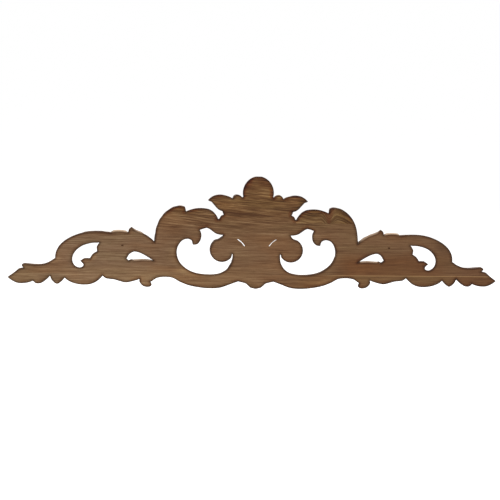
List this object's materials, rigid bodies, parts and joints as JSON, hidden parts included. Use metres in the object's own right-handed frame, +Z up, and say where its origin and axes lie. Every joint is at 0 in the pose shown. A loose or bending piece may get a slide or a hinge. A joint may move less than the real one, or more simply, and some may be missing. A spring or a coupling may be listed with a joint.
{
  "type": "decorative floral applique",
  "caption": "Wide pierced wooden crest with a flat back: carved acanthus leaves, volutes and scrolls spread from a domed centre to pointed leaf tails, to fix on furniture.",
  "frame": {"origin": "on the flat back face, at the centre line and mid-height", "axes": "+X along the length, +Z up towards the dome, +Y out of the flat back, so the carving faces -Y"},
  "size_m": [0.6, 0.0155, 0.1372],
  "materials": {
    "carved wood": "sanded, unvarnished brown hardwood with fine straight grain along the length"
  },
  "bodies": {
    "root": {"carved_applique": "carved wood"}
  },
  "joints": []
}
